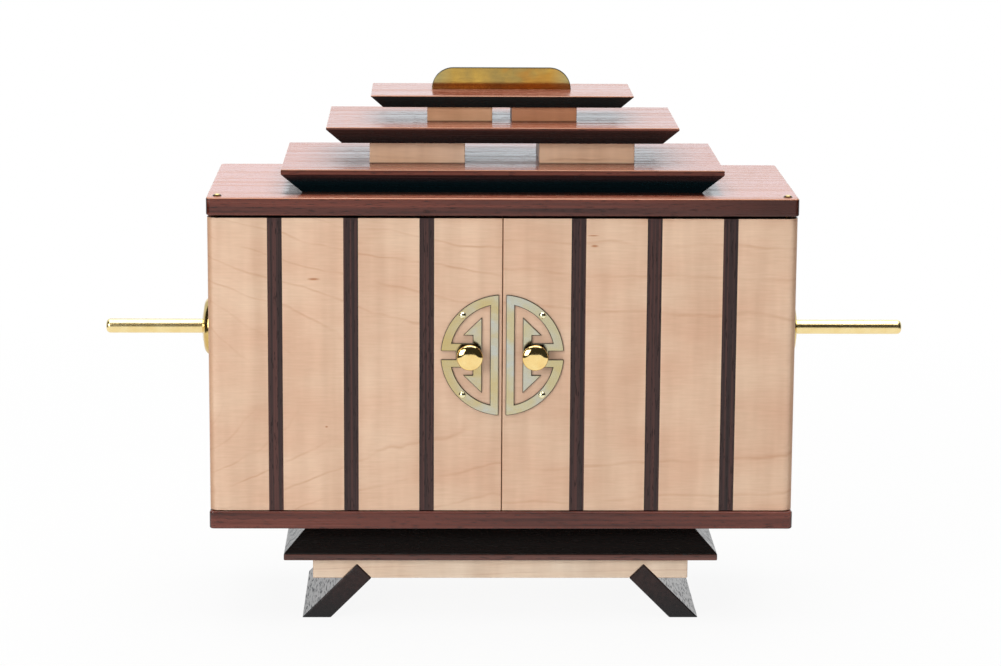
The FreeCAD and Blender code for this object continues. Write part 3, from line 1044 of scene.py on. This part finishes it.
@dataclass(frozen=True)
class Viewpoint:
    """Where the photograph was taken from, in millimetres and radians."""

    place_mm: Triple = (-29.5755, -1410.9709, 401.5654)
    pitch_down: float = 0.195758
    yaw: float = -0.0210571
    roll: float = 0.0057969
    focal_px: float = 3220.9417
    sensor_mm: float = 36.0

    def build(self) -> None:
        """Makes the camera and hands it to the scene."""
        lens = bpy.data.cameras.new("photograph")
        lens.sensor_fit = "HORIZONTAL"
        lens.sensor_width = self.sensor_mm
        lens.lens = self.focal_px * self.sensor_mm / IMAGE_W
        camera = put("photograph", lens)
        level = Vector((-math.sin(self.yaw), math.cos(self.yaw), 0.0))
        right = Vector((math.cos(self.yaw), math.sin(self.yaw), 0.0))
        rise = Vector((0.0, 0.0, 1.0))
        ahead = level * math.cos(self.pitch_down) - rise * math.sin(self.pitch_down)
        up = rise * math.cos(self.pitch_down) + level * math.sin(self.pitch_down)
        across = right * math.cos(self.roll) + up * math.sin(self.roll)
        up = up * math.cos(self.roll) - right * math.sin(self.roll)
        turn = Matrix((across, up, -ahead)).transposed().to_4x4()
        camera.matrix_world = Matrix.Translation(Vector(self.place_mm) * MM) @ turn
        bpy.context.scene.camera = camera


@dataclass(frozen=True)
class SoftBox:
    """One rectangular soft box. Its place, its aim and its sides are in metres."""

    name: str
    place: Triple
    width: float
    height: float
    watts: float
    mirrored: bool = True
    aim: Triple = (0.0, 0.0, 0.2)

    def hang(self) -> None:
        """Hangs the soft box. The camera doesn't see it."""
        lamp = bpy.data.lights.new(self.name, "AREA")
        lamp.shape = "RECTANGLE"
        lamp.size = self.width
        lamp.size_y = self.height
        lamp.energy = self.watts
        box = put(self.name, lamp)
        box.location = self.place
        box.rotation_mode = "QUATERNION"
        box.rotation_quaternion = (Vector(self.aim) - Vector(self.place)).to_track_quat("-Z", "Y")
        box.visible_camera = False
        box.visible_glossy = self.mirrored


@dataclass
class Studio:
    """White paper with a white wall behind, a dim room at the sides and in front, and soft boxes.

    The wall's spans are parts of a direction: how far back the dim room gives way to the wall, and
    how far up the horizon does. The paper's sizes are in metres.
    """

    paper: str = "#d0d0ce"
    wall: str = "#e2eaf1"
    horizon: str = "#f0f4f7"
    dim: str = "#343330"
    wall_from: Span = (0.25, 0.45)
    horizon_to: Span = (0.03, 0.1)
    paper_half: float = 0.62
    paper_front: float = -2.6
    paper_back: float = 2.0
    paper_drop: float = 0.0002
    paper_white: float = 0.92
    paper_near: Span = (0.25, 0.7)
    boxes: tuple[SoftBox, ...] = (
        SoftBox("top_box", (0.0, 0.0, 1.6), 2.1, 2.1, 42.0),
        SoftBox("key_box", (-1.24, -1.44, 0.7), 1.2, 1.0, 23.2),
        SoftBox("fill_box", (1.25, -1.37, 0.52), 0.8, 0.9, 3.6, mirrored=False),
        SoftBox("wall_box", (0.0, 1.5, 0.45), 1.8, 0.5, 1.4),
    )

    def build(self) -> None:
        """Sets the room, the paper and the soft boxes."""
        bpy.context.scene.view_settings.view_transform = "Standard"
        self.room()
        self.lay_paper()
        for box in self.boxes:
            box.hang()

    def room(self) -> None:
        """Makes the room: white to the camera, and to all else white behind and dim elsewhere."""
        world = bpy.data.worlds.new("studio_room")
        bpy.context.scene.world = world
        world.use_nodes = True
        tree = world.node_tree
        tree.nodes.clear()
        way = add_node(tree, "TexCoord").outputs["Generated"]
        ways = add_node(tree, "SeparateXYZ", {0: way}).outputs
        behind, above = (
            add_node(
                tree,
                "MapRange",
                {0: ways[axis], 1: low, 2: high},
                interpolation_type="SMOOTHSTEP",
            ).outputs[0]
            for axis, (low, high) in (("Y", self.wall_from), ("Z", self.horizon_to))
        )
        wall = mix(tree, above, linear(self.horizon), linear(self.wall))
        lit = mix(tree, behind, linear(self.dim), wall)
        ray = add_node(tree, "LightPath").outputs["Is Camera Ray"]
        seen = mix(tree, ray, lit, linear(WHITE))
        shade = add_node(tree, "Background", {"Color": seen, "Strength": 1.0})
        add_node(tree, "OutputWorld", {"Surface": shade.outputs[0]})

    def lay_paper(self) -> None:
        """Lays the white paper that the box stands on."""
        data = bpy.data.meshes.new("paper")
        half = self.paper_half
        outline = [(-half, self.paper_front), (half, self.paper_front)]
        outline += [(half, self.paper_back), (-half, self.paper_back)]
        data.from_pydata([(x, y, -self.paper_drop) for x, y in outline], [], [(0, 1, 2, 3)])
        floor = put("paper", data)
        sheet = Sheet("white_paper")
        matt = sheet.add("BsdfDiffuse", {"Color": linear(self.paper)})
        white = sheet.add("Emission", {"Color": linear(WHITE), "Strength": 1.0})
        ray = sheet.add("LightPath").outputs
        seen = ray["Is Camera Ray"]
        for other in ("Is Glossy Ray", "Is Transmission Ray"):
            seen = sheet.calc("MAXIMUM", seen, ray[other])
        far = sheet.vector("LENGTH", sheet.place)
        share = sheet.span(far, self.paper_near, (self.paper_white, 1.0))
        share = sheet.calc("MULTIPLY", seen, share)
        both = sheet.add("MixShader", {0: share, 1: matt.outputs[0], 2: white.outputs[0]})
        sheet.add("OutputMaterial", {"Surface": both.outputs[0]})
        data.materials.append(sheet.material)


def casework() -> Casework:
    """Picks the finishes of the case.

    Returns:
        The case, ready to build.
    """
    # The lid's top is painted dark as shade under the lower tier, and lighter elsewhere as top light
    # and sheen.
    lid = Rosewood(
        "rosewood_lid",
        near_black="#120d0c",
        top_light="#a8543e",
        top_sheen="#bb9078",
        shade_under=Tier.LOWER.value,
        # Painted shade towards the right end, where the light falls off.
        falloff_shade=0.9,
    )
    bottom = Rosewood("rosewood_bottom_board", top_light="", arris="")
    return Casework(FiguredMaple(), lid, bottom)


def roof_wood(tier: Tier, near_black: str, top_light: str, top_sheen: str, shade_fade_mm: Span) -> Rosewood:
    """Picks the rosewood of one roof tier.

    Args:
        tier: The tier.
        near_black: Colour of its bevel, near black.
        top_light: Colour of its top, painted lighter as top light.
        top_sheen: Colour of its top where the finish has gone into the wood, painted lighter still
            as sheen.
        shade_fade_mm: Heights over its underside between which the bevel's painted shade thins out.

    Returns:
        The finish, rubbed paler and painted with a highlight along the tier's upper edge.
    """
    # How far down the tier's side the rubbed, painted highlight reaches.
    worn_highlight_edge_mm = 0.32
    low, high = (corner[2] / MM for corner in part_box(tier.value))
    return Rosewood(
        f"rosewood_{tier.name.lower()}_tier",
        dark="#38150e",
        middle="#592a1f",
        light="#6e392d",
        near_black=near_black,
        top_light=top_light,
        top_sheen=top_sheen,
        arris="#e6aa8a",
        worn_highlight_mm=high - worn_highlight_edge_mm,
        bevel=Bevel.UNDER,
        shade_fade_mm=(low + shade_fade_mm[0], low + shade_fade_mm[1]),
        ior=1.36,
    )


def roof() -> Roof:
    """Picks the finishes of the roof.

    Returns:
        The roof, ready to build.
    """
    # For each tier: its near-black bevel, its top's painted light and sheen, and the heights between
    # which the bevel's painted shade thins out.
    tiers = {
        Tier.LOWER: roof_wood(Tier.LOWER, "#061d23", "#9c4e3a", "#b88a76", (5.0, 8.8)),
        Tier.MIDDLE: roof_wood(Tier.MIDDLE, "#1c1d1e", "#984c38", "#b68872", (1.0, 10.5)),
        Tier.UPPER: roof_wood(Tier.UPPER, "#0f1f21", "#9a4e38", "#b88c74", (5.0, 6.0)),
    }
    lower, upper = (
        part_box(Side.LEFT.node(name))[0][2] / MM for name in ("lower_block", "upper_block")
    )
    # The lower blocks' maple is painted paler than the rest, as light that the middle tier keeps off
    # them. Each block gets painted shade along the joint it sits on.
    lower_block = FiguredMaple("maple_lower_block", "#ffdcbe", "#fbd1ac", joint_mm=lower)
    upper_blocks = {
        Side.LEFT: FiguredMaple("maple_upper_left_block", "#ebbb93", "#e2ad83", joint_mm=upper),
        Side.RIGHT: FiguredMaple("maple_upper_right_block", "#d89c75", "#ce8e66", joint_mm=upper),
    }
    crest = AgedBrass(
        "brass_aged_crest",
        gold="#d6ae54",
        green="#c4a054",
        blue="#b09456",
        amber="#cb8228",
        edge="#2e2912",
        tip="#b8aa74",
        patch_mm=14.0,
        drift=12.0,
        roughness=0.1,
    )
    return Roof(tiers, lower_block, upper_blocks, crest)


def stand() -> Stand:
    """Picks the finishes of the stand.

    Returns:
        The stand, ready to build.
    """
    # The beam's maple is painted paler than the rest, as light that the plinth over it keeps off.
    beam = FiguredMaple("maple_beam_lightened", "#fce8d2", "#f6dac0", line_spacing_mm=3.4, wander_mm=2.0)
    plinth = Rosewood(
        "rosewood_plinth",
        dark="#40241e",
        middle="#633d35",
        light="#7b4e45",
        near_black="#1b1918",
        top_light="",
        arris="",
        bevel=Bevel.OVER,
    )
    # The feet are painted darker towards the floor as shade.
    foot = Rosewood(
        "rosewood_foot",
        dark="#2a1d1c",
        middle="#3c2b29",
        light="#4a3835",
        pore="#241a18",
        end="#c0a8a4",
        top_light="",
        arris="",
        sunk_and_sheen="#202020",
        floor_shade_mm=17.0,
        pore_from=0.53,
        pore_mm=6.0,
        ior=1.38,
    )
    return Stand(beam, plinth, foot)


def doors() -> list[Door]:
    """Picks the finishes of the doors.

    Returns:
        The left and the right door, ready to build.
    """
    # Painted shade on the doors' upper faces, for the dark gap under the lid.
    gap_shade = "#2a1d15"
    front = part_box("left_door_panel")[0][1] / MM
    boards = {
        Side.LEFT: FiguredMaple(
            "maple_left_door",
            gap_shade=gap_shade,
            flare_mm=12.0,
            bend=-0.1,
            flecks=(Fleck(-81.4, front, 154.4, 6.5, 1.3), Fleck(-76.1, front, 89.3, 1.6, 1.0)),
        ),
        Side.RIGHT: FiguredMaple(
            "maple_right_door",
            gap_shade=gap_shade,
            wander_mm=6.0,
            flecks=(Fleck(38.9, front, 173.6, 6.0, 0.7), Fleck(39.5, front, 169.1, 4.0, 1.4)),
        ),
    }
    plates = {
        Side.LEFT: AgedBrass(
            "brass_left_plate",
            gold="#cbbb8e",
            green="#cac1a3",
            blue="#c4c4b8",
            amber="#cab474",
            tip="#c8b27a",
            tip_mm=(6.0, 36.0),
            drift=-7.0,
        ),
        Side.RIGHT: AgedBrass(
            "brass_right_plate",
            gold="#cbbf98",
            green="#c7c4ae",
            blue="#c2c5c0",
            amber="#c8b98e",
            tip="#c6b478",
            tip_mm=(6.0, 42.0),
        ),
    }
    strip = Rosewood(
        "rosewood_strip",
        dark="#1d1314",
        middle="#382422",
        light="#56332e",
        top_light="",
        arris="",
        streak_mm=1.1,
        roughness=0.3,
        ior=1.4,
    )
    # Painted shade on the backs of the knobs and nails, which face the door.
    back = "#2b2110"
    knob = PolishedBrass("brass_knob", back=back)
    nail = PolishedBrass("brass_nail", "#f4eecb", "#e8dfb0", back=back)
    return [
        Door(side, boards[side], strip, PolishedBrass(), knob, nail, plates[side]) for side in Side
    ]


def rod_lock() -> RodLock:
    """Picks the finishes of the rod and the pins.

    Returns:
        The rod and the pins, ready to build.
    """
    rod = PolishedBrass("brass_rod", "#f9e3a9", "#f2d796", roughness=0.24)
    rosette = PolishedBrass("brass_rosette", "#dcc07c", "#c8a45c", roughness=0.14)
    # The pins' rims and shanks are painted dark as shade.
    return RodLock(rod, rosette, PolishedBrass("brass_pin", rim="#33240f"))


def main() -> None:
    """Builds the studio, then the box from the case outwards."""
    logging.basicConfig(level=logging.INFO, format="%(name)s: %(message)s")
    Viewpoint().build()
    Studio().build()
    for assembly in (casework(), roof(), stand(), *doors(), rod_lock()):
        assembly.build()


if __name__ == "__main__":
    main()
